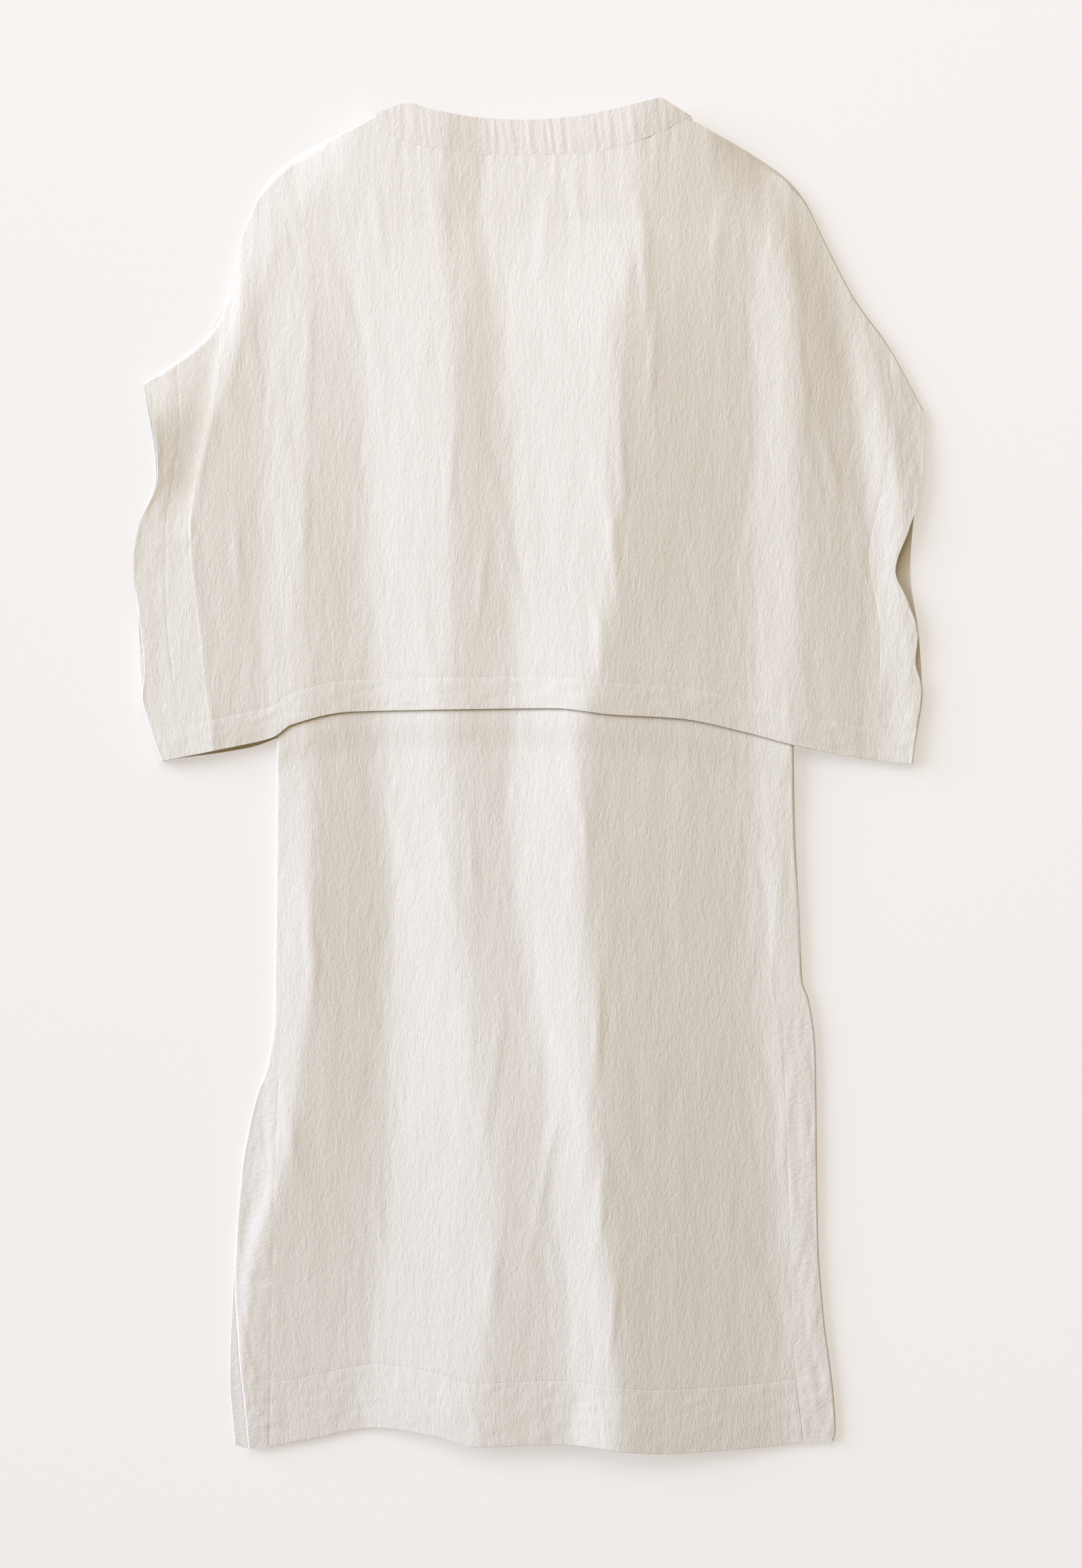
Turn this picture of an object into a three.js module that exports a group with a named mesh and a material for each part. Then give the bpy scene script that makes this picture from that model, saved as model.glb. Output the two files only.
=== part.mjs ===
// A loose linen tunic with a cape layer, laid face down: its back is up, its neck towards +Y.
// Millimetres, +Z up, the origin at the middle of the ground it lies on.
import * as THREE from "three";

// Cloth and sewing sizes
const CLOTH = 1.5; // wall of one layer
const SEAM = 0.4; // gap along a seam
const LAYER = CLOTH + 0.3; // from the underside of one layer to the underside of the next
const CAPE_HEM = 25;
const BODY_HEM = 51;

// How the layers lie
const ROLL = 5; // reach of the soft fold at the neck and the sewn sides
const SHOULDER_RISE = 45; // reach of the long rise from the shoulders, which starts past NECK_REACH
const NECK_REACH = [135, 190]; // to each side of the neck's middle
const LIFT = 3; // air between the cape and the body under it
const TUCK = 7; // how far the covered body stays inside the cape's outline
const STEP = [8, 34]; // past the cape's hem, where the body starts and ends its step down to the ground
const SHOULDER_EASE = [10, 50]; // below the shoulder, where the covered body starts and ends its rise into the folds
const SLEEVE_SAG = 0.4; // share of the cape's lift that is left at the sleeve ends
const FOLD_STEP = 4; // width of the steep drop beside the fold over the left sleeve

const mix = THREE.MathUtils.lerp;
const ease = THREE.MathUtils.smoothstep;
const clamp = THREE.MathUtils.clamp;

/** A smooth curve through a short table of [where, value] rows, level past both ends. */
function smoothCurve(rows) {
  const slope = rows.slice(1).map(([at, value], i) => (value - rows[i][1]) / (at - rows[i][0]));
  const tangent = rows.map((_, i) => {
    if (i === 0) return slope[0];
    if (i === rows.length - 1) return slope[i - 1];
    const product = slope[i - 1] * slope[i];
    return product <= 0 ? 0 : (2 * product) / (slope[i - 1] + slope[i]);
  });
  return (at) => {
    if (at <= rows[0][0]) return rows[0][1];
    if (at >= rows.at(-1)[0]) return rows.at(-1)[1];
    const i = rows.findIndex(([end]) => end > at) - 1;
    const span = rows[i + 1][0] - rows[i][0];
    const t = (at - rows[i][0]) / span;
    const s = 1 - t;
    const ends = rows[i][1] * s * s * (1 + 2 * t) + rows[i + 1][1] * t * t * (3 - 2 * t);
    return ends + span * s * t * (tangent[i] * s - tangent[i + 1] * t);
  };
}

// Outlines seen from above: lines that run across are rows of [x, y], lines that run down are rows of [y, x].
const shoulderLine = smoothCurve([
  [-308, 312], [-280, 331], [-258, 349], [-239, 388], [-227, 436], [-206, 476],
  [-173, 500], [-135, 519], [-104, 534], [0, 537], [104, 537], [128, 523],
  [172, 498], [206, 474], [221, 455], [234, 428], [259, 380], [286, 342], [314, 291],
]);
const neckEdge = smoothCurve([
  [-97, 534.5], [-74, 527], [-39, 521.5], [0, 519.5], [29, 521], [69, 527.5], [104, 536.5],
]);
const neckSeam = smoothCurve([
  [-122, 525], [-110, 508], [-90, 500], [-61, 495], [-30, 492], [11, 491.5],
  [47, 493], [76, 498.5], [100, 507], [128, 522],
]);
const capeHem = smoothCurve([
  [-293, 11], [-238, 22], [-204, 30], [-189, 40], [-141, 50.5], [-70, 52], [18, 53],
  [64, 48], [118, 45], [172, 34], [212, 23.5], [275, 12], [305, 9],
]);
const frontHemDrop = smoothCurve([[-282, 0], [-225, 3], [-196, 1], [-150, 0]]);
const sleeveEdgeLeft = smoothCurve([
  [11, -293], [36, -302], [61, -309], [83, -307], [142, -312.8], [169, -314.5],
  [196, -310.5], [237, -295], [261, -296], [312, -308],
]);
const sleeveEdgeRight = smoothCurve([
  [9, 305], [29, 308], [68, 313.5], [90, 308], [112, 310], [137, 302], [162, 291],
  [196, 302], [222, 310], [245, 313.2], [291, 313.7],
]);
const frontSleeveLeft = smoothCurve([
  [11, -293], [61, -309], [169, -313], [205, -308], [237, -298], [312, -308],
]);
const frontSleeveRight = smoothCurve([
  [9, 305], [68, 313], [112, 310.5], [162, 303.5], [200, 306], [245, 312], [291, 313.7],
]);
const sleeveStitchLeft = smoothCurve([
  [15, -269], [50, -275], [63, -281], [149, -289], [191, -289], [240, -283], [275, -278], [331, -281],
]);
const sleeveStitchRight = smoothCurve([
  [12, 277], [110, 279], [176, 270], [208, 276], [257, 285], [341, 287],
]);
const sideLeft = smoothCurve([
  [-536, -224], [-506, -227], [-457, -232], [-403, -235], [-354, -233], [-319, -230],
  [-284, -224.5], [-252, -216.5], [-230, -208.5], [-192, -204], [23, -201.5], [400, -199], [470, -186],
]);
const frontSideLeft = smoothCurve([
  [-530, -235], [-478, -239], [-403, -236], [-319, -230], [-284, -224.5], [-252, -216.5],
  [-230, -208.5], [-192, -204], [23, -201.5], [400, -199], [470, -186],
]);
const sideRight = smoothCurve([
  [-531, 242], [-522, 244], [-495, 242.5], [-430, 234.5], [-365, 230], [-221, 228],
  [-180, 223], [-163, 217.5], [-106, 215], [-41, 211.5], [400, 206], [470, 190],
]);
const facingLeft = smoothCurve([[-533, -207.5], [-252, -200], [-192, -184]]);
const facingRight = smoothCurve([[-530, 218], [-458, 210.5], [-320, 206], [-176, 200], [-120, 190]]);
const bottomHem = smoothCurve([
  [-237, -533], [-224, -536], [-184, -530.5], [-120, -519.5], [-70, -526], [-46, -533],
  [21, -531], [106, -537.9], [180, -535], [218, -531], [242, -530],
]);
const slitTop = smoothCurve([[-220, -247], [225, -184]]);
const sleeveFold = smoothCurve([
  [20, -252], [110, -262], [207, -269], [245, -265], [293, -257], [347, -249], [384, -241],
]);
const neckLeft = () => -122;
const neckRight = () => 128;
const neckOrShoulder = (neck) => (x) => (x >= neckLeft() && x <= neckRight() ? neck(x) : shoulderLine(x));
const lower = (line, distance) => (at) => line(at) - distance;

// Fold lines of the back, left to right: each line's x, the cloth's rise there at the y of LEVELS, and its roundness
const LEVELS = [440, 340, 220, 60, -120, -300, -500];
const level = (values) => smoothCurve(values.map((value, i) => [LEVELS[i], value]).reverse());
const sleeveFoldRise = level([5, 13, 12, 8]);
const FOLDS = [
  {
    name: "left sleeve end",
    x: level([-300, -306, -306, -303]),
    z: smoothCurve([[60, 5], [150, 6.5], [220, 12], [280, 15], [340, 12], [440, 6]]),
    round: 6,
  },
  {
    name: "foot of the sleeve fold",
    x: lower(sleeveFold, FOLD_STEP),
    z: (y) => mix(sleeveFoldRise(y) - 1, 2.5, ease(y, 185, 235)),
    round: 2,
  },
  { name: "sleeve fold", x: sleeveFold, z: sleeveFoldRise, round: 2 },
  {
    name: "left valley",
    x: level([-214, -206, -210, -212, -207, -216, -236]),
    z: level([3, 2.5, 2, 2, 4, 4, 4]),
    round: 8,
  },
  {
    name: "left crest",
    x: level([-184, -173, -178, -178, -180, -196, -222]),
    z: level([6, 6.5, 6.5, 6, 8, 8.5, 4]),
    round: 8,
  },
  {
    name: "back valley",
    x: level([-149, -141, -133, -115, -111, -112, -134]),
    z: level([8, 6, 4.5, 3, 2, 2, 0.5]),
    round: 10,
  },
  {
    name: "back crest",
    x: level([-67, -66, -64, -46, -50, -40, -40]),
    z: level([17, 17, 14.5, 15, 12.5, 17, 18]),
    round: 12,
  },
  {
    name: "middle valley",
    x: level([-32, -26, -24, -10, -16, 4, 16]),
    z: level([14, 14.5, 12.5, 14, 14, 17, 17]),
    round: 12,
  },
  {
    name: "main crest",
    x: level([80, 68, 62, 42, 40, 50, 61]),
    z: level([20.5, 25, 24, 23.5, 23.5, 25, 27]),
    round: 9,
  },
  {
    name: "right valley",
    x: level([184, 180, 177, 178, 181, 190, 206]),
    z: level([11.5, 11, 9, 9, 5, 5, 5.5]),
    round: 8,
  },
  {
    name: "right crest",
    x: level([204, 206, 213, 208, 196, 208, 232]),
    z: level([11.5, 13.5, 11.5, 11.5, 7, 5, 4.5]),
    round: 7,
  },
  { name: "right sleeve valley", x: level([228, 256, 268, 283]), z: level([6, 5.5, 3.5, 3]), round: 8 },
  { name: "right sleeve crest", x: level([242, 279, 297, 308]), z: level([6.5, 9, 10, 6]), round: 6 },
  { name: "right sleeve end", x: level([300, 314, 320, 320]), z: level([6, 6, 8, 5]), round: 6 },
];
const BODY_FOLDS = FOLDS.filter(({ name }) => !name.includes("sleeve"));

/** The cloth's rise at a place: straight from each fold line to the next, rounded over each line. */
function rise(folds, x, y) {
  const lines = folds.map((fold) => ({ x: fold.x(y), z: fold.z(y), round: fold.round }));
  let height = lines[0].z;
  let slope = 0;
  lines.forEach((line, i) => {
    const next = lines[i + 1];
    const after = next ? (next.z - line.z) / (next.x - line.x) : 0;
    const past = x - line.x;
    height += ((after - slope) * (past + Math.hypot(past, line.round))) / 2;
    slope = after;
  });
  return height;
}

/** 0 on a folded edge and 1 from ROLL inwards. */
const roll = (distance) => Math.sin((Math.PI / 2) * clamp(distance / ROLL, 0, 1));

/** 0 on the shoulder line and 1 inwards: steep at the neck, and a long rise along the shoulders. */
const shoulderRise = (x, distance) =>
  mix(roll(distance), ease(distance, -SHOULDER_RISE / 3, SHOULDER_RISE), ease(Math.abs(x - 3), ...NECK_REACH));

/** Underside of the front cape: it lies on the ground. */
const frontCapeHeight = () => 0;

/** Underside of the front body: on the front cape, then down to the ground past its hem. */
const frontBodyHeight = (x, y) => LAYER * ease(y - capeHem(x), -STEP[1], -STEP[0]);

/** Distance in from the shoulder line, square to its slope. */
function belowShoulder(x, y) {
  const slope = (shoulderLine(x + 2) - shoulderLine(x - 2)) / 4;
  return (shoulderLine(x) - y) / Math.hypot(1, slope);
}

/** Underside of the back body: on the front body at its sides and top, and under the cape's folds between them. */
function backBodyHeight(x, y) {
  const inside = Math.min(x - sideLeft(y), sideRight(y) - x);
  const up = roll(inside) * ease(belowShoulder(x, y), ...SHOULDER_EASE);
  return frontBodyHeight(x, y) + LAYER + up * rise(BODY_FOLDS, x, y);
}

/** Underside of the back cape, its hems and the back neck band. */
function backCapeHeight(x, y) {
  const insideSleeve = Math.min(x - sleeveEdgeLeft(y), sleeveEdgeRight(y) - x);
  const sewn = 1 - ease(y, 105, 150); // the sleeves are sewn shut below the arm openings
  const lift = (2 * LAYER + LIFT) * mix(1, SLEEVE_SAG, ease(Math.abs(x), 215, 310));
  const up = lift + rise(FOLDS, x, y);
  return LAYER + up * shoulderRise(x, belowShoulder(x, y)) * mix(1, roll(insideSleeve), sewn);
}

/** Positions along one axis of a layer: `counts` cells in each gap between its lines. */
const spread = (counts) =>
  counts.flatMap((count, gap) => Array.from({ length: count }, (_, i) => [gap, i / count]));

/** Where lines that run down (x over y) and across (y over x) cross, with cells filling the gaps between them. */
function weave({ down, across, columns, rows }) {
  const us = [...spread(columns), [columns.length - 1, 1]];
  const vs = [...spread(rows), [rows.length - 1, 1]];
  const crossing = ([i, u], [j, v]) => {
    let [x, y] = [0, 0];
    for (let round = 0; round < 30; round += 1) {
      x = mix(down[i](y), down[i + 1](y), u);
      y = mix(across[j](x), across[j + 1](x), v);
    }
    return [x, y];
  };
  return { us, vs, points: vs.map((v) => us.map((u) => crossing(u, v))) };
}

/** A narrow band ruled between its seam and its edge, both y over x, from one end to the other. */
function band({ seam, edge, seamEnds, edgeEnds, columns, rows }) {
  const us = [...spread([columns]), [0, 1]];
  const vs = [...spread([rows]), [0, 1]];
  const points = vs.map(([, v]) =>
    us.map(([, u]) => {
      const [low, high] = [mix(...seamEnds, u), mix(...edgeEnds, u)];
      return [mix(high, low, v), mix(edge(high), seam(low), v)];
    }),
  );
  return { us, vs, points };
}

/** Upward unit normal of a height field. */
function normalOf(height, x, y) {
  const dx = (height(x + 1, y) - height(x - 1, y)) / 2;
  const dy = (height(x, y + 1) - height(x, y - 1)) / 2;
  return new THREE.Vector3(-dx, -dy, 1).normalize();
}

const linen = { color: 0xefe8dc, roughness: 0.92, metalness: 0 };
const bandLinen = { color: 0xeee6d8, roughness: 0.94, metalness: 0 };
const tunic = new THREE.Group();

/** Adds one piece of cloth: the cells of a layer that it keeps, as a closed wall half a seam inside its edges. */
function addPiece(name, layer, height, keep = () => true, colour = linen) {
  const { us, vs, points } = layer;
  const kept = (i, j) => Boolean(us[i + 1] && vs[j + 1] && us[i] && vs[j]) && keep(us[i][0], vs[j][0]);
  const corners = new Map();
  const positions = [];
  const corner = (i, j, side) => {
    const key = `${i},${j}`;
    if (!corners.has(key)) {
      const around = [[i, j], [i - 1, j], [i - 1, j - 1], [i, j - 1]].filter(([a, b]) => kept(a, b));
      let [x, y] = points[j][i];
      if (around.length < 4) {
        const inward = new THREE.Vector2();
        for (const [a, b] of around) {
          const [px, py] = points[2 * b + 1 - j][2 * a + 1 - i];
          inward.add(new THREE.Vector2(px - x, py - y).normalize());
        }
        inward.setLength(SEAM / 2);
        [x, y] = [x + inward.x, y + inward.y];
      }
      const foot = new THREE.Vector3(x, y, height(x, y));
      corners.set(key, positions.length);
      positions.push(foot, foot.clone().addScaledVector(normalOf(height, x, y), CLOTH));
    }
    return corners.get(key) + side;
  };
  const index = [];
  const quad = (a, b, c, d) => index.push(a, b, c, a, c, d);
  for (let j = 0; j < vs.length - 1; j += 1)
    for (let i = 0; i < us.length - 1; i += 1) {
      if (!kept(i, j)) continue;
      const ring = [[i, j], [i, j + 1], [i + 1, j + 1], [i + 1, j]];
      const neighbours = [[i - 1, j], [i, j + 1], [i + 1, j], [i, j - 1]];
      quad(...ring.map(([a, b]) => corner(a, b, 1)));
      quad(...ring.map(([a, b]) => corner(a, b, 0)).reverse());
      neighbours.forEach(([a, b], k) => {
        if (kept(a, b)) return;
        const [from, to] = [ring[k], ring[(k + 1) % 4]];
        quad(corner(...from, 1), corner(...from, 0), corner(...to, 0), corner(...to, 1));
      });
    }
  const geometry = new THREE.BufferGeometry().setFromPoints(positions).setIndex(index);
  geometry.computeVertexNormals();
  const mesh = new THREE.Mesh(geometry, new THREE.MeshStandardMaterial({ name, ...colour }));
  mesh.name = name;
  tunic.add(mesh);
}

// Back cape, left to right: sleeve hem, sleeve, step, left, neck, right, sleeve hem. Downwards: panel, hem.
const backCape = weave({
  down: [
    sleeveEdgeLeft,
    sleeveStitchLeft,
    lower(sleeveFold, FOLD_STEP),
    sleeveFold,
    neckLeft,
    neckRight,
    sleeveStitchRight,
    sleeveEdgeRight,
  ],
  across: [neckOrShoulder(neckSeam), lower(capeHem, -CAPE_HEM), capeHem],
  columns: [2, 2, 1, 9, 16, 12, 2],
  rows: [17, 2],
});

/** Adds the four pieces of a cape: the panel, the hem along the bottom and one at each sleeve end. */
function addCape(side, layer, height) {
  const last = layer.us.at(-1)[0];
  const inner = (column) => column > 0 && column < last;
  addPiece(`${side}_cape`, layer, height, (column, row) => inner(column) && row === 0);
  addPiece(`${side}_cape_hem`, layer, height, (column, row) => inner(column) && row === 1);
  addPiece(`${side}_sleeve_hem_left`, layer, height, (column) => column === 0);
  addPiece(`${side}_sleeve_hem_right`, layer, height, (column) => column === last);
}
addCape("back", backCape, backCapeHeight);

// Front cape: the same cut, lying flat, with a V neck
const vLine = (tip) => (x) => (x < 3 ? mix(tip, 525, (3 - x) / 125) : mix(tip, 522, (x - 3) / 125));
const vSeam = vLine(318);
const vEdge = (x) => (x < 3.5 ? mix(376, 534.5, (3.5 - x) / 100.5) : mix(376, 536.5, (x - 3.5) / 100.5));
const frontHem = (x) => capeHem(x) - frontHemDrop(x);
const frontCape = weave({
  down: [frontSleeveLeft, sleeveStitchLeft, neckLeft, neckRight, sleeveStitchRight, frontSleeveRight],
  across: [neckOrShoulder(vSeam), lower(frontHem, -CAPE_HEM), frontHem],
  columns: [1, 8, 8, 8, 1],
  rows: [8, 1],
});
addCape("front", frontCape, frontCapeHeight);

// Neck band, back and front
const bandEnds = { seamEnds: [neckLeft(), neckRight()], edgeEnds: [-97, 104] };
const backBand = band({ seam: neckSeam, edge: neckEdge, ...bandEnds, columns: 16, rows: 3 });
const frontBand = band({ seam: vSeam, edge: vEdge, ...bandEnds, columns: 8, rows: 1 });
addPiece("back_neck_band", backBand, backCapeHeight, undefined, bandLinen);
addPiece("front_neck_band", frontBand, frontCapeHeight, undefined, bandLinen);

// Bodies: facing, panel, facing from left to right; covered, three rows of the step, above the slits, beside them, hem
const covered = (neck) => (x) =>
  Math.min(shoulderLine(x) - 2 * TUCK, Math.abs(x - 3) < 125 + TUCK ? neck(x) - TUCK : Infinity);
const body = ({ side, neck, columns, rows }) =>
  weave({
    down: [side, facingLeft, facingRight, sideRight],
    across: [
      covered(neck),
      lower(capeHem, -6),
      lower(capeHem, STEP[0]),
      lower(capeHem, STEP[1]),
      slitTop,
      lower(bottomHem, -BODY_HEM),
      bottomHem,
    ],
    columns,
    rows,
  });
const backBody = body({ side: sideLeft, neck: neckSeam, columns: [2, 24, 2], rows: [10, 1, 1, 8, 6, 2] });
const frontBody = body({ side: frontSideLeft, neck: vSeam, columns: [1, 10, 1], rows: [5, 1, 1, 2, 5, 1] });
for (const [side, layer, height] of [
  ["back", backBody, backBodyHeight],
  ["front", frontBody, frontBodyHeight],
]) {
  addPiece(`${side}_body`, layer, height, (column, row) => row < 4 || (row === 4 && column === 1));
  addPiece(`${side}_body_hem`, layer, height, (column, row) => row === 5 && column === 1);
  addPiece(`${side}_slit_facing_left`, layer, height, (column, row) => row > 3 && column === 0);
  addPiece(`${side}_slit_facing_right`, layer, height, (column, row) => row > 3 && column === 2);
}

export default tunic;
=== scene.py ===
"""A loose linen tunic with a cape layer, laid face down on a pale floor.

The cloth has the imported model's outlines and layers and about its folds, and adds gathers,
creases, stitched grooves, stitches and a washed linen finish. Lengths are metres in the
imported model's frame: the back is up and the neck towards +Y. Tables are in millimetres.
"""

from __future__ import annotations

import logging
import math
from collections.abc import Callable, Sequence
from dataclasses import dataclass
from enum import Enum

import bmesh
import bpy
import numpy as np
from mathutils import Matrix, Vector


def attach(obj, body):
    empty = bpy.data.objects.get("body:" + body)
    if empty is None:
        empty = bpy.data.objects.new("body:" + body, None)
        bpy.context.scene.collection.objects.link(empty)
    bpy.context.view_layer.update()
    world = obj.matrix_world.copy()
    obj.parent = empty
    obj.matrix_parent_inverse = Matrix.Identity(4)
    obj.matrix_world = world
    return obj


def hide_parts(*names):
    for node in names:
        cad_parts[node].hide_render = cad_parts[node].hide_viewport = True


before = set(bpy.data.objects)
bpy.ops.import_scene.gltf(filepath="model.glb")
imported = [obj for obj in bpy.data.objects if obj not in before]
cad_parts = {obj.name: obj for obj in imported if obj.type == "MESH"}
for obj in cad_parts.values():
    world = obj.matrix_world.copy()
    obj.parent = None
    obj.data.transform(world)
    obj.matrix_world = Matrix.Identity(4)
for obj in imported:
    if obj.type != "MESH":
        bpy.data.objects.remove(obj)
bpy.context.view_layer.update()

LOG = logging.getLogger("tunic")
MM = 0.001

Field = np.ndarray
Line = Callable[[Field], Field]
Height = Callable[[Field, Field], Field]
Colour = tuple[float, float, float]
Span = tuple[float, float]


# ---------------------------------------------------------------- curves and relief


def mix(a: Field, b: Field, share: Field) -> Field:
    """The value a share of the way from a to b."""
    return a + (b - a) * share


def ease(value: Field, low: float, high: float) -> Field:
    """0 up to low, 1 from high, and a smooth step between them."""
    t = np.clip((value - low) / (high - low), 0.0, 1.0)
    return t * t * (3.0 - 2.0 * t)


def bump(distance: Field, width: float) -> Field:
    """A soft bell: 1 at distance 0, and almost 0 from twice the width on."""
    return np.exp(-np.square(distance / width))


class SmoothCurve:
    """A smooth curve through a short table of rows (where, value), level past both ends."""

    def __init__(self, rows: Sequence[tuple[float, float]]) -> None:
        """Works out the slope of the curve at each row.

        Args:
            rows: The table in millimetres, with rising places.
        """
        table = np.array(rows, dtype=float) * MM
        self.at, self.value = table[:, 0], table[:, 1]
        slope = np.diff(self.value) / np.diff(self.at)
        product, total = slope[:-1] * slope[1:], slope[:-1] + slope[1:]
        turning = product <= 0
        inner = np.where(turning, 0.0, 2.0 * product / np.where(turning, 1.0, total))
        self.tangent = np.concatenate([slope[:1], inner, slope[-1:]])

    def __call__(self, at: Field) -> Field:
        """The curve's value in metres at each place, also in metres."""
        at = np.clip(at, self.at[0], self.at[-1])
        i = np.clip(np.searchsorted(self.at, at, side="right") - 1, 0, len(self.at) - 2)
        span = self.at[i + 1] - self.at[i]
        t = (at - self.at[i]) / span
        s = 1.0 - t
        ends = self.value[i] * s * s * (1 + 2 * t) + self.value[i + 1] * t * t * (3 - 2 * t)
        return ends + span * s * t * (self.tangent[i] * s - self.tangent[i + 1] * t)


class Crinkle:
    """Smooth random relief from -1 to 1 on a stretched lattice, the same in every run."""

    CELLS = 512

    def __init__(self, seed: int, width: float, length: float, lean: float = 0.0) -> None:
        """Fills the lattice.

        Args:
            seed: Chooses the pattern.
            width: Size of a cell across, in metres.
            length: Size of a cell along the garment, in metres.
            lean: How far the pattern shifts across for each metre along.
        """
        self.values = np.random.default_rng(seed).uniform(-1.0, 1.0, (self.CELLS, self.CELLS))
        self.width, self.length, self.lean = width, length, lean

    def __call__(self, x: Field, y: Field) -> Field:
        """The relief at each place in metres."""
        u, v = (x + self.lean * y) / self.width, y / self.length
        u = u + 0.35 * np.sin(1.7 * v + 0.6 * u)
        v = v + 0.35 * np.sin(2.3 * u + 0.5 * v)
        i, j = np.floor(u).astype(int), np.floor(v).astype(int)
        a, b = ease(u - i, 0.0, 1.0), ease(v - j, 0.0, 1.0)
        n = self.CELLS
        near, far = (
            mix(self.values[i % n, row % n], self.values[(i + 1) % n, row % n], a) for row in (j, j + 1)
        )
        return mix(near, far, b)


@dataclass(frozen=True)
class Crease:
    """One soft trough or ridge in the cloth, with its sizes in millimetres.

    Attributes:
        x: Middle of the crease, across.
        y: Middle of the crease, along the garment.
        length: From end to end.
        width: From its line to where it has faded.
        rise: Height of a ridge, or below 0 the depth of a trough.
        turn: Degrees from the garment's length, to the left at its upper end.
        bow: How far its middle stands off the straight line between its ends.
    """

    x: float
    y: float
    length: float
    width: float
    rise: float
    turn: float = 0.0
    bow: float = 0.0

    def relief(self, x: Field, y: Field) -> Field:
        """Its height in metres at each place."""
        angle = math.radians(self.turn)
        dx, dy = x - self.x * MM, y - self.y * MM
        along = (-math.sin(angle) * dx + math.cos(angle) * dy) / (self.length * MM / 2)
        aside = math.cos(angle) * dx + math.sin(angle) * dy
        aside = aside - self.bow * MM * (1.0 - np.square(np.clip(along, -1.0, 1.0)))
        fade = np.square(np.clip(1.0 - np.square(along), 0.0, 1.0))
        return self.rise * MM * fade * bump(aside, self.width * MM)


# ---------------------------------------------------------------- the garment's lines


SEAM_LEFT, SEAM_RIGHT = (-122, 525), (128, 522)
EDGE_LEFT, EDGE_RIGHT = (-97, 534.5), (104, 536.5)
NECK_MIDDLE = 3 * MM
NECK_HALF = 125 * MM
LEFT_SIDE_ABOVE_SLIT = (
    (-319, -230), (-284, -224.5), (-252, -216.5), (-230, -208.5), (-192, -204), (23, -201.5),
    (400, -199), (470, -186),
)


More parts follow.
